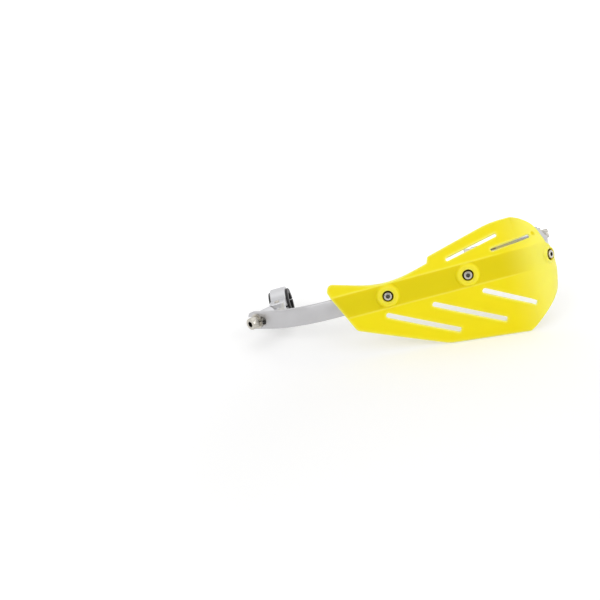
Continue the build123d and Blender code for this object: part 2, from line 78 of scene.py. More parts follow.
# Shield outline: place along the bar, height
TIP = (-152.5, 28.1)
TOP_DIP = (-85.0, 11.6)
NOTCH_INNER = (-38.5, 22.0)
NOTCH_OUTER = (-36.0, 27.6)
PEAK = (36.0, 43.8)
OUTER_EDGE = np.array([
    (57.0, 43.8), (66.0, 42.8), (75.0, 40.0), (84.0, 33.4), (88.2, 25.0), (89.0, 18.0),
    (91.0, 10.0), (98.0, 4.5), (103.0, -5.0), (106.5, -18.0), (107.5, -32.0), (104.0, -43.5),
    (96.0, -50.0),
])
LOW_OUTER = (51.0, -79.6)
LOWEST = (-36.0, -68.4)
LOW_INNER = (-127.5, -28.8)
TIP_ROUND = 6.0
TOP_DIP_ROUND = 95.0
NOTCH_INNER_ROUND = 0.5
NOTCH_OUTER_ROUND = 2.0
PEAK_ROUND = 110.0
LOW_OUTER_ROUND = 4.0
LOWEST_ROUND = 40.0
LOW_INNER_ROUND = 7.0

# Slots: inner end, outer end
UPPER_SLOTS = [((-18.0, 20.2), (39.0, 31.0)), ((29.0, 18.5), (74.5, 22.2))]
LOWER_SLOTS = [
    ((11.0, -20.5), (64.0, -50.2)),
    ((-43.0, -21.2), (28.5, -59.2)),
    ((-93.0, -20.0), (-21.0, -57.2)),
]
UPPER_SLOT_WIDTH = 4.2 * math.cos(math.radians(38.0))
LOWER_SLOT_WIDTH = 5.4
SLOT_CORNER = 1.3
SLOT_END_SHARE = 0.49

# Small moulded dimple past the end of the outer upper slot
DIMPLE = (79.3, 22.7)
DIMPLE_RADIUS = 2.1
DIMPLE_REACH = 1.5
DIMPLE_DEPTH = 0.9

# Screw pads: place along the bar, height, radius of the flat top, steepness of the side
BEND_SCREW = math.radians(50.0)
BEND_SCREW_DROP = 4.0
PADS = [
    (-86.0, 0.0, 11.0, 1.72),
    (0.0, 0.0, 11.0, 1.72),
    (BEND_START + FACE_RADIUS * BEND_SCREW, -BEND_SCREW_DROP, 8.0, 2.15),
]
PAD_TOP = 8.9
PAD_ROUND = 0.5
BORE_RADIUS = 6.0
BORE_EDGE = 0.5
BORE_FLOOR = 5.7
SCREW_HOLE = 2.75
BORE_LIP_STEPS = 4
BEND_SQUEEZE = FACE_RADIUS / (BEND_RADIUS + PAD_TOP)

# Grid of the sheet: fine lines within a reach of the pads, and of the creases and the dimple
SHEET_END = 110.0
PLACE_REACH, PLACE_FINE, PLACE_WIDE = 14.0, 0.6, 1.2
HEIGHT_REACH, HEIGHT_FINE, HEIGHT_WIDE = 1.5, 0.45, 1.05
GRID_FADE = 6.0
GRID_SAMPLES = 6000
EDGE_ROUNDS = 4
EDGE_SLACK = 0.1
BLOCK = 4000

# Painted glow that makes the plastic paler on its rims, creases, pads and side: how strong each is,
# where it lies and how it fades
RIM_PALE, CREASE_PALE, PAD_PALE, SIDE_PALE = 0.45, 0.3, 0.18, 0.6
RIM_FADE = 0.7
CREASE_LINE = 0.9
CREASE_END = 48.0
CREASE_FADE = 30.0
PAD_MARGIN = 1.0
PAD_FADE = 2.0
SIDE_START = 34.0
SIDE_RUN = 56.0

# Painted shade of the bar seen through the wall: the darker strip, its ends, and the clear ring
# round a pad
BAR_SEEN_HALF = 13.5
BAR_SEEN_FADE = 2.0
BAR_SEEN_END = 76.0
BAR_SEEN_RUN = 34.0
PAD_CLEAR_FADE = 1.5

# Screws: head, its height, socket, shank, length and teeth, and the seats above the bar's middle
SHIELD_SCREW = dict(head=8.5, height=3.3, socket=4.0, shank=5.0, length=15.1, knurl=0.0)
POST_BOLT = dict(head=13.0, height=8.0, socket=6.0, shank=8.0, length=22.6, knurl=0.4)
END_BOLT = dict(head=10.0, height=6.0, socket=5.0, shank=6.0, length=90.1, knurl=0.35)
CLAMP_SCREW = dict(head=10.0, height=6.0, socket=5.0, shank=6.0, length=21.4, knurl=0.35)
SHIELD_SEAT = 6.6
POST_SEAT = 6.6
END_SEAT = 7.1
SCREW_SIDES = 72
HEAD_EDGE = 0.6
HEAD_EDGE_STEPS = 5
HEAD_FOOT = 0.3
TEETH_LEAD = 0.2
SOCKET_LIP = 0.25

# Clamp: its arm's pivot behind the fork, its ear behind the handlebar, and how far below its
# middle both screws sit
POST_TO_PIVOT = 31.0
EAR_SCREW = 25.0
CLAMP_SEAT = 10.0
DOWN = np.array([0.0, 0.0, -1.0])

# Grain and scuffs
SCUFF_STRETCH = (60.0, 900.0, 900.0)
BROAD_SIZE = 38.0
SCUFF_PATCH_SIZE = 45.0
GRAIN_DEPTH = 0.0002

# Floor, in metres: its size, the middle of its dimmer patch, and how bright it is near and far
FLOOR_SIZE = 40.0
FLOOR_MIDDLE = (0.0, -0.3, 0.0)
FLOOR_NEAR, FLOOR_FAR = 0.15, 0.8
FLOOR_GLOW_NEAR, FLOOR_GLOW_FAR = 0.20, 0.66

# Room: the y of a direction where the viewer's side ends and the backdrop starts, and their levels
ROOM_FRONT, ROOM_BACK = -0.6, 0.3
ROOM_LEVEL, BACKDROP_LEVEL = 0.45, 0.70

# Camera: its place in metres, its direction and roll, and its sensor and lens in millimetres
CAMERA_PLACE = (-0.0254, -0.9652, 0.4842)
CAMERA_AHEAD = (-0.0822, 0.9058, -0.4156)
CAMERA_ROLL = math.radians(-9.69)
CAMERA_SENSOR = 36.0
CAMERA_LENS = 56.5

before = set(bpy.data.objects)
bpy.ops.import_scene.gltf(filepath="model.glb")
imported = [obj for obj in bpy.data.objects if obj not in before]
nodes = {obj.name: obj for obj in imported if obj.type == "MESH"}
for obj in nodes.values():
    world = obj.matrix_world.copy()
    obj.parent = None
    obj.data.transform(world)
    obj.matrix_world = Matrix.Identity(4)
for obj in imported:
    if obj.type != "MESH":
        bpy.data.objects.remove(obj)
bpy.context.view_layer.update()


def at_rest(points):
    """Points of the level frame turned by the lean, then the roll, and set on the floor, in
    metres."""
    turn = Matrix.Rotation(REST_ROLL, 3, "Y") @ Matrix.Rotation(REST_LEAN, 3, "X")
    return (points @ np.array(turn).T + REST_SHIFT) * MM


def station(turn, x, y, z=0.0):
    """Place on the bar: its origin, the direction along the bar and the direction out of its
    front."""
    along = np.array([math.cos(turn), math.sin(turn), 0.0])
    outward = np.array([math.sin(turn), -math.cos(turn), 0.0])
    return np.array([x, y, z]), along, outward


def bend_station(turn, z=0.0):
    """Place on the outer bend at an angle from its start."""
    x = BEND_START + BEND_RADIUS * math.sin(turn)
    return station(turn, x, BEND_RADIUS * (1 - math.cos(turn)), z)


PAD_STATIONS = [station(0.0, place, 0.0, height) for place, height, _, _ in PADS[:2]]
PAD_STATIONS.append(bend_station(BEND_SCREW, -BEND_SCREW_DROP))
END_STATION = station(BEND_ANGLE, BEND_START + BEND_RADIUS, HANDLEBAR_SETBACK)


def soft_ramp(t, size):
    """Zero below zero and t above it, with the corner rounded as a hyperbola of that size."""
    return (t + np.sqrt(t * t + size * size)) / 2


def ease(t):
    """Smooth step from 0 to 1."""
    t = np.clip(t, 0, 1)
    return t * t * (3 - 2 * t)


def bend_share(s):
    """Share of the outer bend that a place along the bar has turned."""
    return np.clip((s - BEND_START) / (FACE_RADIUS * BEND_ANGLE), 0, 1)


def lower_crease(s):
    """Height of the lower crease: level along the run, then falling evenly round the bend."""
    return -BAND_HALF - CREASE_DROP * bend_share(s)


def wing_slopes(s):
    """Slopes of the upper and lower wing: they change evenly from the tip to the bend, and the
    upper wing then stands up round the bend."""
    t = np.clip((s - TWIST_START) / (BEND_START - TWIST_START), 0, 1)
    up = SLOPE_UP_TIP + t * (SLOPE_UP_BEND - SLOPE_UP_TIP)
    up = up + bend_share(s) * (SLOPE_UP_END - SLOPE_UP_BEND)
    return up, SLOPE_LOW_TIP + t * (SLOPE_LOW_BEND - SLOPE_LOW_TIP)


def pad_face(radius, flat, steepness):
    """Height of a screw pad: flat out to its radius, then falling away as a cone."""
    return PAD_TOP - steepness * soft_ramp(radius - flat, PAD_ROUND)


def dimple(s, z):
    """Share of the small dimple's depth: full out to half its radius, easing to nothing at its
    reach, which is counted in radii."""
    return ease(DIMPLE_REACH - np.hypot(s - DIMPLE[0], z - DIMPLE[1]) / DIMPLE_RADIUS)


def outer_face(s, z):
    """Distance of the outer face from the bar's middle: a flat band, two wings that fall away
    from its creases by their slopes, the three pads blended in by a soft maximum, and a dimple."""
    up, low = wing_slopes(s)
    out = BAND_FACE - up * soft_ramp(z - BAND_HALF, CREASE_ROUND)
    out = out - low * soft_ramp(lower_crease(s) - z, CREASE_ROUND)
    for place, height, flat, steepness in PADS:
        if place < BEND_START:
            pad = pad_face(np.hypot(s - place, z - height), flat, steepness)
        else:
            swing = np.clip((s - place) / FACE_RADIUS, -1.0, 1.0)
            across = (BEND_RADIUS + PAD_TOP) * np.tan(swing)
            level = pad_face(np.hypot(across, z - height), flat, steepness)
            pad = (BEND_RADIUS + level) / np.cos(swing) - BEND_RADIUS
        out = pad + soft_ramp(out - pad, PAD_ROUND)
    return out - DIMPLE_DEPTH * dimple(s, z)


def inner_face(s, z):
    """Distance of the inner face from the bar's middle: the same section, one wall behind."""
    up, low = wing_slopes(s)
    crease_up = BAND_HALF - WALL * np.tan(np.arctan(up) / 2)
    crease_low = lower_crease(s) + WALL * np.tan(np.arctan(low) / 2)
    out = BAND_BACK - up * soft_ramp(z - crease_up, CREASE_ROUND)
    return out - low * soft_ramp(crease_low - z, CREASE_ROUND)


def to_space(s, z, out):
    """Place along the bar, height and distance out, as a point: straight to the bend, then round
    its centre."""
    turn = np.clip(s - BEND_START, 0, None) / FACE_RADIUS
    reach = BEND_RADIUS + out
    x = np.minimum(s, BEND_START) + reach * np.sin(turn)
    return np.stack([x, BEND_RADIUS - reach * np.cos(turn), z], -1)


def outer_points(s, z):
    """Points of the outer face."""
    return to_space(s, z, outer_face(s, z))


def inner_points(s, z):
    """Points of the inner face, each straight behind its outer point through the wall."""
    up, low = wing_slopes(s)
    drop = WALL * np.sin(np.arctan(up)) * ease((z - BAND_HALF) / WING_TURN)
    lift = WALL * np.sin(np.arctan(low)) * ease((lower_crease(s) - z) / WING_TURN)
    behind = z - drop + lift
    return to_space(s, behind, inner_face(s, behind))


def corner_arc(before, corner, after, radius, steps=12):
    """Arc of a radius that touches both sides of a corner."""
    p0, p1, p2 = (np.array(p, float) for p in (before, corner, after))
    u = (p0 - p1) / np.linalg.norm(p0 - p1)
    v = (p2 - p1) / np.linalg.norm(p2 - p1)
    half = math.acos(np.clip(u @ v, -1, 1)) / 2
    centre = p1 + (u + v) / np.linalg.norm(u + v) * radius / math.sin(half)
    start = p1 + u * radius / math.tan(half) - centre
    end = p1 + v * radius / math.tan(half) - centre
    sweep = math.atan2(start[0] * end[1] - start[1] * end[0], start @ end)
    t = np.linspace(0, 1, steps)[:, None] * sweep
    side = np.array([-start[1], start[0]])
    return centre + start * np.cos(t) + side * np.sin(t)


def rounded_path(corners, radii, before, after):
    """Run of corners, each rounded by its own radius, between the points before and after it."""
    path = [before] + corners + [after]
    arcs = [corner_arc(*path[i:i + 3], radius) for i, radius in enumerate(radii)]
    return np.concatenate(arcs)


def through_points(points, before, after, steps=10):
    """Smooth curve through points: a cubic on each gap whose ends follow the neighbours."""
    p = np.concatenate([[before], points, [after]])
    t = np.linspace(0, 1, steps, endpoint=False)[:, None, None]
    a, b, c, d = p[:-3], p[1:-2], p[2:-1], p[3:]
    first, second, third = (c - a) / 2, a - 2.5 * b + 2 * c - d / 2, 1.5 * (b - c) + (d - a) / 2
    curve = b + t * (first + t * (second + t * third))
    return np.concatenate([curve.transpose(1, 0, 2).reshape(-1, 2), points[-1:]])


def shield_outline():
    """Outline in place and height: the smooth outer edge, then straight sides with round
    corners."""
    outer = through_points(OUTER_EDGE, PEAK, LOW_OUTER)
    corners = [LOW_OUTER, LOWEST, LOW_INNER, TIP, TOP_DIP, NOTCH_INNER, NOTCH_OUTER, PEAK]
    radii = [
        LOW_OUTER_ROUND, LOWEST_ROUND, LOW_INNER_ROUND, TIP_ROUND, TOP_DIP_ROUND,
        NOTCH_INNER_ROUND, NOTCH_OUTER_ROUND, PEAK_ROUND,
    ]
    return np.concatenate([outer, rounded_path(corners, radii, OUTER_EDGE[-1], OUTER_EDGE[0])])


def slot_outline(inner, outer, width):
    """Slanted strip between two places, round at its inner end and squarer at its outer end."""
    inner, outer = np.array(inner), np.array(outer)
    along = (outer - inner) / np.linalg.norm(outer - inner)
    side = np.array([-along[1], along[0]]) * width / 2
    corners = [inner - side, outer - side, outer + side, inner + side]
    end = SLOT_END_SHARE * width
    return rounded_path(corners, [end, SLOT_CORNER, SLOT_CORNER, end], corners[-1], corners[0])


def signed_gap(points, loop):
    """Signed distance from a closed outline, negative inside: the nearest side gives the
    distance, and the count of sides crossed by a level ray gives the sign."""
    a = loop[None]
    b = np.roll(loop, -1, 0)[None]
    parts = []
    for block in np.array_split(points, max(1, len(points) // BLOCK)):
        p = block[:, None]
        t = np.clip(((p - a) * (b - a)).sum(-1) / ((b - a) ** 2).sum(-1), 0, 1)
        gap = np.linalg.norm(p - a - t[..., None] * (b - a), axis=-1).min(1)
        spans = (a[..., 1] > p[..., 1]) != (b[..., 1] > p[..., 1])
        rise = np.where(spans, b[..., 1] - a[..., 1], 1.0)
        reach = a[..., 0] + (p[..., 1] - a[..., 1]) * (b[..., 0] - a[..., 0]) / rise
        inside = (spans & (p[..., 0] < reach)).sum(1) % 2 == 1
        parts.append(np.where(inside, -gap, gap))
    return np.concatenate(parts)


OUTLINE = shield_outline()
SLOTS = [slot_outline(a, b, UPPER_SLOT_WIDTH) for a, b in UPPER_SLOTS]
SLOTS += [slot_outline(a, b, LOWER_SLOT_WIDTH) for a, b in LOWER_SLOTS]


def slot_gap(points):
    """Distance outside the nearest slot's edge."""
    return np.min([signed_gap(points, slot) for slot in SLOTS], axis=0)


def bore_gap(points):
    """Distance outside the nearest counterbore's edge; on the bend the circle is squeezed along
    the bar."""
    s, z = points.T
    gaps = []
    for place, height, _, _ in PADS:
        squeeze = BEND_SQUEEZE if place > BEND_START else 1.0
        gaps.append(np.hypot((s - place) / squeeze, z - height) - BORE_RADIUS)
    return np.min(gaps, axis=0)


def flat_gap(points):
    """How far places lie outside the sheet's flat, which stops one rim short of every edge."""
    return np.max([
        signed_gap(points, OUTLINE) + RIM,
        SLOT_RIM - slot_gap(points),
        BORE_EDGE - bore_gap(points),
    ], axis=0)


def flat_slope(points, step=0.05):
    """Direction in which flat_gap grows, from differences."""
    ds, dz = np.array([step, 0.0]), np.array([0.0, step])
    slope = np.stack([
        flat_gap(points + ds) - flat_gap(points - ds),
        flat_gap(points + dz) - flat_gap(points - dz),
    ], -1) / (2 * step)
    return slope / np.maximum(np.linalg.norm(slope, axis=1, keepdims=True), 1e-6)


def spaced_lines(low, high, fine_places, reach, fine, wide):
    """Grid lines that are close together within reach of some places and wider apart elsewhere:
    the lines stand at whole counts of the summed inverse of the spacing."""
    spots = np.linspace(low, high, GRID_SAMPLES)
    near = np.min([np.abs(spots - place) for place in fine_places], axis=0)
    spacing = fine + (wide - fine) * ease((near - reach) / GRID_FADE)
    count = np.concatenate([[0], np.cumsum(np.diff(spots) / spacing[:-1])])
    lines = int(round(count[-1])) + 1
    return np.interp(np.linspace(0, count[-1], lines), count, spots)


def sheet_grid():
    """Places and faces of the sheet's flat: grid cells inside the outline, whose level lines fall
    with the lower crease, with the grid points nearest to each edge moved on to it."""
    low_end, high_end = LOW_OUTER[1] - RIM, PEAK[1] + RIM
    pads, levels = [pad[0] for pad in PADS], (-BAND_HALF, BAND_HALF, DIMPLE[1])
    s_lines = spaced_lines(TIP[0], SHEET_END, pads, PLACE_REACH, PLACE_FINE, PLACE_WIDE)
    z_lines = spaced_lines(low_end, high_end, levels, HEIGHT_REACH, HEIGHT_FINE, HEIGHT_WIDE)
    grid = np.stack(np.meshgrid(s_lines, z_lines, indexing="ij"), -1)
    follow = np.interp(z_lines, [low_end, -BAND_HALF, BAND_HALF], [0.0, 1.0, 0.0])
    grid[..., 1] -= CREASE_DROP * bend_share(s_lines)[:, None] * follow
    rows, columns = grid.shape[:2]
    places = grid.reshape(-1, 2).copy()
    gap = flat_gap(places).reshape(rows, columns)
    moved = np.zeros_like(gap, bool)
    for low, high in ((np.s_[:-1, :], np.s_[1:, :]), (np.s_[:, :-1], np.s_[:, 1:])):
        crossing = (gap[low] < 0) != (gap[high] < 0)
        nearer = np.abs(gap[low]) <= np.abs(gap[high])
        moved[low] |= crossing & nearer
        moved[high] |= crossing & ~nearer
    on_edge = np.flatnonzero(moved)
    for _ in range(EDGE_ROUNDS):
        spot = places[on_edge]
        places[on_edge] = spot - flat_gap(spot)[:, None] * flat_slope(spot)
    inside = ((gap < 0) | moved).ravel()
    index = np.arange(rows * columns).reshape(rows, columns)
    corners = [index[:-1, :-1], index[1:, :-1], index[1:, 1:], index[:-1, 1:]]
    cells = np.stack(corners, -1).reshape(-1, 4)
    held = inside[cells]
    quads = cells[held.all(1)]
    three = held.sum(1) == 3
    tris = cells[three][held[three]].reshape(-1, 3)
    quads = quads[flat_gap(places[quads].mean(1)) < EDGE_SLACK]
    tris = tris[flat_gap(places[tris].mean(1)) < EDGE_SLACK]
    return places, quads, tris


def open_edges(quads, tris):
    """Directed edges that only one face uses, which are the sheet's rims."""
    loops = [np.stack([quads[:, i], quads[:, (i + 1) % 4]], -1) for i in range(4)]
    loops += [np.stack([tris[:, i], tris[:, (i + 1) % 3]], -1) for i in range(3)]
    edges = np.concatenate(loops)
    size = edges.max() + 1
    code = edges[:, 0] * size + edges[:, 1]
    back = edges[:, 1] * size + edges[:, 0]
    return edges[~np.isin(code, back)]


def rim_rings(places):
    """Rings round a rim from the outer face to the inner: a half round, squared up by a power of
    its sine and cosine, whose reach is the rim left off the flat."""
    at_slot = slot_gap(places) < RIM
    past = places + np.where(at_slot, SLOT_RIM, RIM)[:, None] * flat_slope(places)
    outer, inner = outer_points(*places.T), inner_points(*places.T)
    middle = (outer + inner) / 2
    reach = (outer_points(*past.T) + inner_points(*past.T)) / 2 - middle
    turn = np.linspace(math.pi / 2, -math.pi / 2, RIM_STEPS + 1)[1:-1, None, None]
    square = np.where(at_slot, SLOT_SQUARENESS, RIM_SQUARENESS)[None, :, None]
    lift = np.sign(np.sin(turn)) * np.abs(np.sin(turn)) ** square
    return middle + reach * np.cos(turn) ** square + (outer - inner) / 2 * lift


def bore_rings(places):
    """Rings down a counterbore: its rounded lip, its wall, its floor and the screw hole."""
    nearest = np.argmin([np.abs(places[:, 0] - pad[0]) for pad in PADS], axis=0)
    centre, along, outward = (np.array(part)[nearest] for part in zip(*PAD_STATIONS))
    local = outer_points(*places.T) - centre
    angle = np.arctan2(local[:, 2], (local * along).sum(1))
    lip = np.linspace(0, math.pi / 2, BORE_LIP_STEPS + 1)[1:]
    lip_radius = BORE_RADIUS + BORE_EDGE * (1 - np.sin(lip))
    lip_height = PAD_TOP - BORE_EDGE * (1 - np.cos(lip))
    radius = np.concatenate([lip_radius, [BORE_RADIUS, SCREW_HOLE, SCREW_HOLE]])[:, None, None]
    height = np.concatenate([lip_height, [BORE_FLOOR, BORE_FLOOR, BAND_BACK]])[:, None, None]
    up = np.array([0.0, 0.0, 1.0])
    sideways = along * np.cos(angle)[:, None] + up * np.sin(angle)[:, None]
    return centre + radius * sideways + height * outward


def strip_faces(edges, order, first, rings, top, bottom):
    """Quads that join the outer face's rim to the inner face's through the rings between them."""
    a, b = order[edges[:, 0]], order[edges[:, 1]]
    count = len(np.unique(edges[:, 0]))
    steps = [(top[edges[:, 0]], top[edges[:, 1]])]
    steps += [(first + k * count + a, first + k * count + b) for k in range(rings)]
    steps.append((bottom[edges[:, 0]], bottom[edges[:, 1]]))
    joins = zip(steps[:-1], steps[1:])
    return [np.stack([b0, a0, a1, b1], -1) for (a0, b0), (a1, b1) in joins]


def add_object(name, data):
    """Object of that data, linked to the scene."""
    thing = bpy.data.objects.new(name, data)
    bpy.context.scene.collection.objects.link(thing)
    return thing


def make_mesh(name, points, faces, material, sharp_angle=SHARP_ANGLE):
    """Mesh object from points of the level frame and lists of face index arrays."""
    mesh = bpy.data.meshes.new(name)
    rows = [face for group in faces for face in group.tolist()]
    mesh.from_pydata(at_rest(points).tolist(), [], rows)
    mesh.validate()
    mesh.polygons.foreach_set("use_smooth", np.ones(len(mesh.polygons), bool))
    mesh.set_sharp_from_angle(angle=sharp_angle)
    mesh.materials.append(material)
    return add_object(name, mesh)


def mark(piece, name, values):
    """Value on each vertex that a material can read."""
    layer = piece.data.attributes.new(name, "FLOAT", "POINT")
    layer.data.foreach_set("value", np.asarray(values, np.float32))


def painted_glow_marks(places):
    """Share of painted glow, which makes the plastic paler: the most of its rims, fading within a
    millimetre, of painted highlight lines on both creases, of the pads and of the bend, where light
    comes through the side. The dimple gets none."""
    s, z = places.T
    parts = [
        RIM_PALE * np.exp(-np.maximum(-flat_gap(places), 0) / RIM_FADE),
        CREASE_PALE * (
            np.exp(-((z - BAND_HALF) / CREASE_LINE) ** 2) * ease((CREASE_END - s) / CREASE_FADE)
        ),
        CREASE_PALE * (
            np.exp(-((z - lower_crease(s)) / CREASE_LINE) ** 2) * (1 - bend_share(s))
        ),
        SIDE_PALE * ease((s - SIDE_START) / SIDE_RUN),
    ]
    for place, height, flat, _ in PADS:
        inside = flat + PAD_MARGIN - np.hypot(s - place, z - height)
        parts.append(PAD_PALE * ease(inside / PAD_FADE))
    return np.max(parts, axis=0) * (1 - dimple(s, z))


def painted_shade_marks(places):
    """Share of painted shade where the bar behind the wall keeps light from coming through it:
    across the band, up to the bend, but not through a pad. The dimple gets the same painted shade."""
    s, z = places.T
    shade = ease((BAR_SEEN_HALF - np.abs(z)) / BAR_SEEN_FADE)
    shade = shade * ease((BAR_SEEN_END - s) / BAR_SEEN_RUN)
    for place, height, flat, _ in PADS:
        outside = np.hypot(s - place, z - height) - flat - PAD_MARGIN
        shade = shade * ease(outside / PAD_CLEAR_FADE)
    return np.maximum(shade, dimple(s, z))


def moulded_shield(material):
    """The shield as one closed sheet: outer face, inner face, round rims and stepped screw
    bores."""
    places, quads, tris = sheet_grid()
    used = np.unique(np.concatenate([quads.ravel(), tris.ravel()]))
    lookup = np.full(len(places), -1)
    lookup[used] = np.arange(len(used))
    places, quads, tris = places[used], lookup[quads], lookup[tris]
    count = len(places)
    edges = open_edges(quads, tris)
    at_bore = np.abs(bore_gap(places))[edges[:, 0]] < 2 * BORE_EDGE
    top, bottom = np.arange(count), np.arange(count) + count
    points = [outer_points(*places.T), inner_points(*places.T)]
    faces = [quads, tris, quads[:, ::-1] + count, tris[:, ::-1] + count]
    painted_glow = [np.tile(painted_glow_marks(places), 2)]
    shade = [np.tile(painted_shade_marks(places), 2)]
    first = 2 * count
    # Rim rings, slot walls among them, get full painted glow and no painted shade; counterbore
    # walls get full painted shade.
    for group, rings_of, glow_share in (
        (edges[~at_bore], rim_rings, 1.0),
        (edges[at_bore], bore_rings, 0.0),
    ):
        around = np.unique(group[:, 0])
        order = np.full(count, -1)
        order[around] = np.arange(len(around))
        rings = rings_of(places[around])
        added = rings.shape[0] * rings.shape[1]
        points.append(rings.reshape(-1, 3))
        faces += strip_faces(group, order, first, len(rings), top, bottom)
        first += added
        painted_glow.append(np.full(added, glow_share))
        shade.append(np.full(added, 1.0 - glow_share))
    piece = make_mesh("moulded_shield", np.concatenate(points), faces, material)
    mark(piece, "painted_glow", np.concatenate(painted_glow))
    mark(piece, "painted_bar_shade", np.concatenate(shade))
    return piece


def hexagon(angle, across):
    """Radius of a hexagon of a width across its flats, at an angle round its middle."""
    sector = (angle + math.pi / 6) % (math.pi / 3) - math.pi / 6
    return across / 2 / np.cos(sector)


def turned_screw(place, axis, head, height, socket, shank, length, knurl):
    """Socket screw as rings about its axis from the socket's floor over the head to the shank's
    end: hexagons in the socket, circles elsewhere, with fine teeth on a knurled head. Returns
    points, sides, end faces and socket marks."""
    angle = np.linspace(0, 2 * math.pi, SCREW_SIDES, endpoint=False)
    circle = np.ones(SCREW_SIDES)
    teeth = circle + knurl * (np.arange(SCREW_SIDES) % 2) / head
    turn = np.linspace(0, math.pi / 2, HEAD_EDGE_STEPS)
    rings = [
        (hexagon(angle, socket), height / 2, 1.0),
        (hexagon(angle, socket), height - SOCKET_LIP, 1.0),
        (hexagon(angle, socket) + SOCKET_LIP, height, 0.0),
    ]
    for t in turn:
        edge = head / 2 - HEAD_EDGE * (1 - math.sin(t))
        rings.append((circle * edge, height - HEAD_EDGE * (1 - math.cos(t)), 0.0))
    rings += [
        (teeth * head / 2, height - HEAD_EDGE - TEETH_LEAD, 0.0),
        (teeth * head / 2, HEAD_FOOT, 0.0),
        (circle * (head / 2 - HEAD_FOOT), 0.0, 0.0),
        (circle * shank / 2, 0.0, 0.0),
        (circle * shank / 2, HEAD_EDGE - length, 0.0),
        (circle * (shank / 2 - HEAD_EDGE), -length, 0.0),
    ]
    radii, levels, marks = zip(*rings)
    radius = np.array(radii)[..., None]
    level = np.array(levels)[:, None, None]
    side = np.cross(axis, [0.0, 0.0, 1.0] if abs(axis[2]) < 0.5 else [1.0, 0.0, 0.0])
    across = np.cross(axis, side)
    spoke = np.cos(angle)[:, None] * side + np.sin(angle)[:, None] * across
    points = place + radius * spoke + level * axis
    index = np.arange(len(rings) * SCREW_SIDES).reshape(len(rings), SCREW_SIDES)
    ahead = np.roll(index, -1, 1)
    sides = np.stack([index[:-1], index[1:], ahead[1:], ahead[:-1]], -1).reshape(-1, 4)
    caps = [index[0], index[-1][::-1]]
    return points.reshape(-1, 3), sides, caps, np.repeat(marks, SCREW_SIDES)


def screws(name, places, material, **sizes):
    """One piece that holds a turned screw at each place and axis."""
    points, faces, marks, first = [], [], [], 0
    for place, axis in places:
        at, sides, caps, sockets = turned_screw(place, axis, **sizes)
        points.append(at)
        faces += [sides + first] + [cap[None] + first for cap in caps]
        marks.append(sockets)
        first += len(at)
    piece = make_mesh(name, np.concatenate(points), faces, material, SCREW_SHARP_ANGLE)
    mark(piece, "socket", np.concatenate(marks))
    return piece


def read_values(items, name, width=1, kind=float):
    """Values of one kind that a mesh's items hold, one row to an item."""
    values = np.empty(width * len(items), kind)
    items.foreach_get(name, values)
    return values.reshape(-1, width) if width > 1 else values


def sharp_edges(mesh, holes):
    """Which edges are sharp, because their two faces meet at a steep angle, and which lie at a
    screw hole."""
    ends = read_values(mesh.edges, "vertices", 2, int)
    middles = read_values(mesh.vertices, "co", 3)[ends].mean(1)
    sides = read_values(mesh.loops, "edge_index", 1, int)
    corners = read_values(mesh.polygons, "loop_total", 1, int)
    facing = np.repeat(read_values(mesh.polygons, "normal", 3), corners, axis=0)
    both = facing[np.argsort(sides, kind="stable")].reshape(-1, 2, 3)
    sharp = (both[:, 0] * both[:, 1]).sum(1) < math.cos(SHARP_ANGLE)
    at_hole = np.zeros(len(sharp), bool)
    for at, _, out in holes:
        start, end = at_rest(np.array([at, at + out]))
        axis = (end - start) / MM
        reach = middles - start
        aside = np.linalg.norm(np.cross(reach, axis), axis=1)
        at_hole |= (aside < HOLE_REACH * MM) & (np.abs(reach @ axis) < HOLE_REACH * MM)
    return sharp, at_hole


def eased_bar(material, holes):
    """Copy of the bar with its triangles merged, its flats joined and its sharp edges rounded,
    but for those of its screw holes."""
    mesh = nodes["guard_bar"].data.copy()
    work = bmesh.new()
    work.from_mesh(mesh)
    bmesh.ops.remove_doubles(work, verts=work.verts, dist=WELD * MM)
    bmesh.ops.dissolve_limit(work, angle_limit=FLAT_ANGLE, verts=work.verts, edges=work.edges)
    work.to_mesh(mesh)
    work.free()
    mesh.polygons.foreach_set("use_smooth", np.ones(len(mesh.polygons), bool))
    sharp, at_hole = sharp_edges(mesh, holes)
    weights = mesh.attributes.new("bevel_weight_edge", "FLOAT", "EDGE")
    weights.data.foreach_set("value", (sharp & ~at_hole).astype(np.float32))
    mesh.edges.foreach_set("use_edge_sharp", sharp & at_hole)
    mesh.materials.clear()
    mesh.materials.append(material)
    piece = add_object("eased_bar", mesh)
    edge = piece.modifiers.new("eased_edges", "BEVEL")
    edge.width = BAR_EDGE * MM
    edge.segments = BAR_EDGE_STEPS
    edge.limit_method = "WEIGHT"
    edge.use_clamp_overlap = False
    edge.loop_slide = False
    edge.harden_normals = True
    return piece


def group_socket(tree, name, kind, direction, value=None):
    """Named socket on a node group."""
    socket = tree.interface.new_socket(name=name, in_out=direction, socket_type=kind)
    if value is not None:
        socket.default_value = value


def linked(tree, kind, inputs, **settings):
    """Node of a kind with its settings, its inputs set to values or linked to sockets."""
    node = tree.nodes.new(kind)
    for key, value in settings.items():
        setattr(node, key, value)
    for key, value in inputs.items():
        if isinstance(value, bpy.types.NodeSocket):
            tree.links.new(value, node.inputs[key])
        else:
            node.inputs[key].default_value = value
    return node


def worked(tree, operation, first, second):
    """Result of a Math node on two values."""
    node = linked(tree, "ShaderNodeMath", {0: first, 1: second}, operation=operation)
    return node.outputs["Value"]


def noise(tree, place, size, detail):
    """Noise of a size at a place, from 0 to 1."""
    inputs = {"Vector": place, "Scale": size, "Detail": detail}
    return linked(tree, "ShaderNodeTexNoise", inputs).outputs["Fac"]


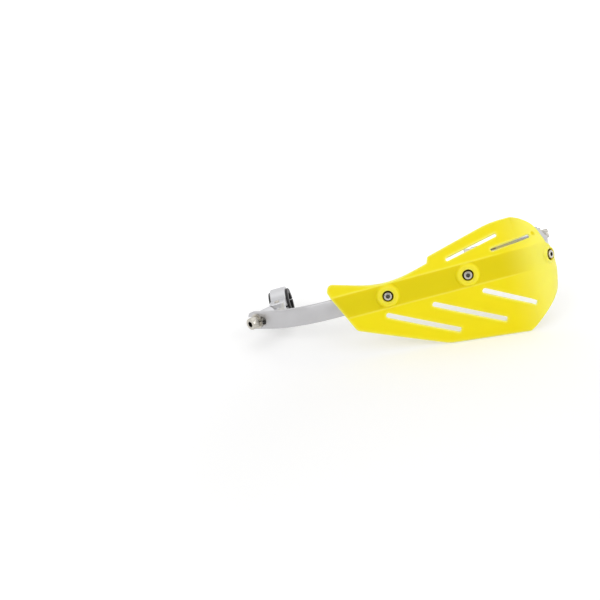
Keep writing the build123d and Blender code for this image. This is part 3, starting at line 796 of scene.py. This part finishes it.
def fine_grain_group():
    """Even fine grain on Object coordinates: a noise at the given size as a height, and a broad
    noise as a mask."""
    tree = bpy.data.node_groups.new("fine_grain", "ShaderNodeTree")
    group_socket(tree, "Size", "NodeSocketFloat", "INPUT", 800.0)
    group_socket(tree, "Height", "NodeSocketFloat", "OUTPUT")
    group_socket(tree, "Mask", "NodeSocketFloat", "OUTPUT")
    entry = tree.nodes.new("NodeGroupInput")
    place = tree.nodes.new("ShaderNodeTexCoord")
    fine = noise(tree, place.outputs["Object"], entry.outputs["Size"], 3.0)
    broad = noise(tree, place.outputs["Object"], BROAD_SIZE, 4.0)
    leave = tree.nodes.new("NodeGroupOutput")
    tree.links.new(fine, leave.inputs["Height"])
    tree.links.new(broad, leave.inputs["Mask"])
    return tree


def handling_group():
    """Faint scuffs: thin stretched noise lines times a broad noise times the amount."""
    tree = bpy.data.node_groups.new("handling_marks", "ShaderNodeTree")
    group_socket(tree, "Stretch", "NodeSocketVector", "INPUT", SCUFF_STRETCH)
    group_socket(tree, "Amount", "NodeSocketFloat", "INPUT", 0.1)
    group_socket(tree, "Mask", "NodeSocketFloat", "OUTPUT")
    entry = tree.nodes.new("NodeGroupInput")
    place = tree.nodes.new("ShaderNodeTexCoord")
    lines = linked(tree, "ShaderNodeMapping", {
        "Vector": place.outputs["Object"], "Scale": entry.outputs["Stretch"],
    })
    thin = noise(tree, lines.outputs["Vector"], 1.0, 2.0)
    patch = noise(tree, place.outputs["Object"], SCUFF_PATCH_SIZE, 2.0)
    both = worked(tree, "MULTIPLY", thin, patch)
    sized = worked(tree, "MULTIPLY", both, entry.outputs["Amount"])
    leave = tree.nodes.new("NodeGroupOutput")
    tree.links.new(sized, leave.inputs["Mask"])
    return tree


FINE_GRAIN = fine_grain_group()
HANDLING = handling_group()


def new_material(name):
    """Material with its Principled shader."""
    material = bpy.data.materials.new(name)
    material.use_nodes = True
    return material, material.node_tree, material.node_tree.nodes["Principled BSDF"]


def place_group(tree, group, **inputs):
    """A node group set in a material with its own values."""
    node = tree.nodes.new("ShaderNodeGroup")
    node.node_tree = group
    for key, value in inputs.items():
        node.inputs[key].default_value = value
    return node


def grained(tree, shader, rough, spread, size, bump, stretch=SCUFF_STRETCH, marks=0.1):
    """Grain bump and an uneven roughness with faint scuffs; returns the grain node."""
    grain = place_group(tree, FINE_GRAIN, Size=size)
    scuff = place_group(tree, HANDLING, Stretch=stretch, Amount=marks)
    level = linked(tree, "ShaderNodeMapRange", {
        "Value": grain.outputs["Mask"], "To Min": rough - spread, "To Max": rough + spread,
    })
    uneven = worked(tree, "ADD", level.outputs["Result"], scuff.outputs["Mask"])
    tree.links.new(uneven, shader.inputs["Roughness"])
    dents = linked(tree, "ShaderNodeBump", {
        "Height": grain.outputs["Height"], "Strength": bump, "Distance": GRAIN_DEPTH,
    })
    tree.links.new(dents.outputs["Normal"], shader.inputs["Normal"])
    return grain


def blended(tree, share, low, high):
    """Colour that goes from low to high with a share; each is a colour or a socket."""
    mix = tree.nodes.new("ShaderNodeMix")
    mix.data_type = "RGBA"
    tree.links.new(share, mix.inputs["Factor"])
    for key, colour in (("A", low), ("B", high)):
        if isinstance(colour, bpy.types.NodeSocket):
            tree.links.new(colour, mix.inputs[key])
        else:
            mix.inputs[key].default_value = colour + (1.0,)
    return mix.outputs["Result"]


def marked(tree, name):
    """A piece's own vertex value."""
    return linked(tree, "ShaderNodeAttribute", {}, attribute_name=name).outputs["Fac"]


def yellow_moulding():
    """Translucent yellow plastic: light scatters through the wall, painted shade darkens the band
    where the bar lies behind it, the dimple and the counterbore walls, and painted glow makes the
    rims, slot walls, crease lines, pads and bend side paler, both read from the piece's own marks."""
    material, tree, shader = new_material("yellow_moulding")
    grain = grained(tree, shader, rough=0.40, spread=0.04, size=900.0, bump=0.05, marks=0.05)
    body = blended(tree, grain.outputs["Mask"], (0.85, 0.71, 0.004), (0.89, 0.76, 0.006))
    # Painted shade: darker yellow where the bar lies behind the band, in the dimple and on the
    # counterbore walls.
    shaded = blended(tree, marked(tree, "painted_bar_shade"), body, (0.78, 0.645, 0.002))
    # Painted glow: paler yellow on the rims, slot walls, crease lines, pads and round the bend.
    glow_painted = blended(tree, marked(tree, "painted_glow"), shaded, (0.97, 0.90, 0.22))
    tree.links.new(glow_painted, shader.inputs["Base Color"])
    shader.inputs["Subsurface Weight"].default_value = 0.7
    shader.inputs["Subsurface Radius"].default_value = (1.0, 0.85, 0.12)
    shader.inputs["Subsurface Scale"].default_value = 0.005
    shader.inputs["IOR"].default_value = 1.45
    shader.inputs["Specular IOR Level"].default_value = 0.2
    return material


def metal(name, dark, light, **surface):
    """Bare or plated metal with its grain, scuffs and slightly uneven tint, and a dark socket in a
    screw: partly a film of oil and oxide, partly painted shade of the recess."""
    material, tree, shader = new_material(name)
    grain = grained(tree, shader, **surface)
    tint = blended(tree, grain.outputs["Mask"], dark, light)
    # Socket colour: a dark film of oil and oxide, and painted shade inside the recess.
    film_and_shade = blended(tree, marked(tree, "socket"), tint, (0.09, 0.085, 0.07))
    tree.links.new(film_and_shade, shader.inputs["Base Color"])
    shader.inputs["Metallic"].default_value = 1.0
    return material


def dull(name, dark, light, gloss, **surface):
    """Plain non-metal finish with a fine grain."""
    material, tree, shader = new_material(name)
    grain = grained(tree, shader, marks=0.08, **surface)
    tree.links.new(blended(tree, grain.outputs["Mask"], dark, light), shader.inputs["Base Color"])
    shader.inputs["Specular IOR Level"].default_value = gloss
    return material


def wear(node, material):
    """Gives a CAD node its finish."""
    nodes[node].data.materials.clear()
    nodes[node].data.materials.append(material)


def fit(piece, node):
    """Sets a rebuilt piece in the place of a CAD node: attaches it to the root body and hides the
    node.
    """
    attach(piece, "root")
    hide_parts(node)


satin_aluminium = metal(
    "satin_aluminium", (0.50, 0.495, 0.505), (0.58, 0.575, 0.585),
    rough=0.34, spread=0.05, size=1400.0, bump=0.10, stretch=(40.0, 1500.0, 1500.0), marks=0.25,
)
clamp_aluminium = metal(
    "clamp_aluminium", (0.60, 0.60, 0.615), (0.70, 0.70, 0.715),
    rough=0.36, spread=0.06, size=1900.0, bump=0.35,
)
bright_aluminium = metal(
    "bright_aluminium", (0.70, 0.70, 0.715), (0.78, 0.78, 0.795),
    rough=0.22, spread=0.04, size=1600.0, bump=0.08,
)
zinc_steel = metal(
    "zinc_steel", (0.50, 0.475, 0.425), (0.60, 0.575, 0.52),
    rough=0.27, spread=0.06, size=1800.0, bump=0.06,
)
# Near-black, yellow-brown washers in the counterbores: the dark ring they give stands in partly for
# painted shade in the counterbores and the painted reflection of the yellow wall there.
dark_washer = dull(
    "dark_washer", (0.026, 0.019, 0.002), (0.040, 0.030, 0.003), gloss=0.15,
    rough=0.55, spread=0.05, size=1500.0, bump=0.05,
)
black_sleeve = dull(
    "black_sleeve", (0.012, 0.011, 0.012), (0.020, 0.018, 0.020), gloss=0.5,
    rough=0.42, spread=0.06, size=900.0, bump=0.15,
)

FINISHES = {
    "swivel_post": clamp_aluminium,
    "clamp_upper_half": clamp_aluminium,
    "clamp_lower_half": clamp_aluminium,
    "expander_sleeve": bright_aluminium,
    "reducer_sleeve": black_sleeve,
    "shield_washers": dark_washer,
    "shield_nuts": zinc_steel,
    "post_washer": zinc_steel,
    "post_lock_washer": zinc_steel,
    "bar_end_washer": zinc_steel,
    "bar_end_lock_washer": zinc_steel,
    "expander_cone": zinc_steel,
}
for node, finish in FINISHES.items():
    wear(node, finish)

fit(moulded_shield(yellow_moulding()), "shield")
fit(eased_bar(satin_aluminium, PAD_STATIONS + [END_STATION]), "guard_bar")

fork_x = -FRONT_INNER - INNER_RADIUS * math.sin(INNER_ANGLE) - FORK_BOLT_RUN * math.cos(INNER_ANGLE)
fork_y = INNER_RADIUS * (1 - math.cos(INNER_ANGLE)) + FORK_BOLT_RUN * math.sin(INNER_ANGLE)
fork_at, _, fork_out = station(-INNER_ANGLE, fork_x, fork_y)
end_at, _, end_out = END_STATION
pivot = fork_at - POST_TO_PIVOT * fork_out
ear = np.array([pivot[0], HANDLEBAR_SETBACK + EAR_SCREW, 0.0])

shield_places = [(at + SHIELD_SEAT * out, out) for at, _, out in PAD_STATIONS]
fork_place = [(fork_at + POST_SEAT * fork_out, fork_out)]
end_place = [(end_at + END_SEAT * end_out, end_out)]
clamp_places = [(at + CLAMP_SEAT * DOWN, DOWN) for at in (ear, pivot)]
for name, node, places, sizes in (
    ("shield_screw_set", "shield_screws", shield_places, SHIELD_SCREW),
    ("fork_bolt", "post_bolt", fork_place, POST_BOLT),
    ("end_bolt", "bar_end_bolt", end_place, END_BOLT),
    ("clamp_screw_set", "clamp_screws", clamp_places, CLAMP_SCREW),
):
    fit(screws(name, places, zinc_steel, **sizes), node)


def seen_by_eye(tree):
    """Shares of rays that look straight at a surface, and of those that see it in a mirror or
    through glass."""
    path = tree.nodes.new("ShaderNodeLightPath")
    glossy, through = path.outputs["Is Glossy Ray"], path.outputs["Is Transmission Ray"]
    return path.outputs["Is Camera Ray"], worked(tree, "MAXIMUM", glossy, through)


def pale_floor():
    """Wide floor that reads as white away from the guard and keeps its shadow near it."""
    bpy.ops.mesh.primitive_plane_add(size=FLOOR_SIZE, location=(0, 0, 0))
    floor = bpy.context.object
    floor.name = "floor"
    material, tree, shader = new_material("pale_floor")
    shader.inputs["Base Color"].default_value = (0.80, 0.80, 0.80, 1.0)
    shader.inputs["Roughness"].default_value = 0.9
    shader.inputs["Specular IOR Level"].default_value = 0.0
    place = tree.nodes.new("ShaderNodeTexCoord")
    away = linked(tree, "ShaderNodeVectorMath", {
        0: place.outputs["Object"], 1: FLOOR_MIDDLE,
    }, operation="DISTANCE")
    glow = linked(tree, "ShaderNodeMapRange", {
        "Value": away.outputs["Value"], "From Min": FLOOR_NEAR, "From Max": FLOOR_FAR,
        "To Min": FLOOR_GLOW_NEAR, "To Max": FLOOR_GLOW_FAR,
    }, interpolation_type="SMOOTHSTEP")
    seen = worked(tree, "MAXIMUM", *seen_by_eye(tree))
    shown = worked(tree, "MULTIPLY", seen, glow.outputs["Result"])
    shader.inputs["Emission Color"].default_value = WHITE
    tree.links.new(shown, shader.inputs["Emission Strength"])
    floor.data.materials.append(material)


def studio_world():
    """White backdrop behind and a dimmer room on the viewer's side: plain levels where they light
    the guard, and full white where the backdrop is seen straight or in a mirror."""
    world = bpy.data.worlds.new("studio")
    world.use_nodes = True
    bpy.context.scene.world = world
    tree = world.node_tree
    back = tree.nodes["Background"]
    back.inputs["Color"].default_value = WHITE
    heading = tree.nodes.new("ShaderNodeTexCoord")
    parts = linked(tree, "ShaderNodeSeparateXYZ", {"Vector": heading.outputs["Generated"]})
    behind = linked(tree, "ShaderNodeMapRange", {
        "Value": parts.outputs["Y"], "From Min": ROOM_FRONT, "From Max": ROOM_BACK,
    }, interpolation_type="SMOOTHSTEP")
    lit = linked(tree, "ShaderNodeMapRange", {
        "Value": behind.outputs["Result"], "To Min": ROOM_LEVEL, "To Max": BACKDROP_LEVEL,
    })
    straight, mirror = seen_by_eye(tree)
    mirrored = worked(tree, "MULTIPLY", mirror, behind.outputs["Result"])
    level = linked(tree, "ShaderNodeMapRange", {
        "Value": worked(tree, "MAXIMUM", straight, mirrored),
        "To Min": lit.outputs["Result"], "To Max": 1.0,
    })
    tree.links.new(level.outputs["Result"], back.inputs["Strength"])


def soft_lamp(name, place, aim, size, power):
    """Square area lamp at a place, turned to a point."""
    lamp = bpy.data.lights.new(name, "AREA")
    lamp.size = size
    lamp.energy = power
    holder = add_object(name, lamp)
    holder.location = place
    holder.rotation_euler = (Vector(aim) - Vector(place)).to_track_quat("-Z", "Y").to_euler()


def photo_camera():
    """Camera at the photograph's height and tilt, rolled so that the guard lies in the picture as
    photographed."""
    lens = bpy.data.cameras.new("camera")
    lens.sensor_width = CAMERA_SENSOR
    lens.lens = CAMERA_LENS
    holder = add_object("camera", lens)
    holder.location = CAMERA_PLACE
    level = Vector(CAMERA_AHEAD).to_track_quat("-Z", "Y").to_matrix()
    roll = Matrix.Rotation(CAMERA_ROLL, 3, "Z")
    holder.rotation_euler = (level @ roll).to_euler()
    bpy.context.scene.camera = holder


pale_floor()
studio_world()
soft_lamp("overhead", (0.1, 0.2, 1.5), (0.0, 0.0, 0.0), 1.4, 3.0)
soft_lamp("front_left", (-0.9, -1.4, 1.0), (0.0, 0.0, 0.05), 1.0, 9.0)
soft_lamp("front_right", (1.2, -1.0, 0.8), (0.05, 0.0, 0.05), 1.0, 10.0)
photo_camera()
bpy.context.scene.view_settings.view_transform = "Standard"
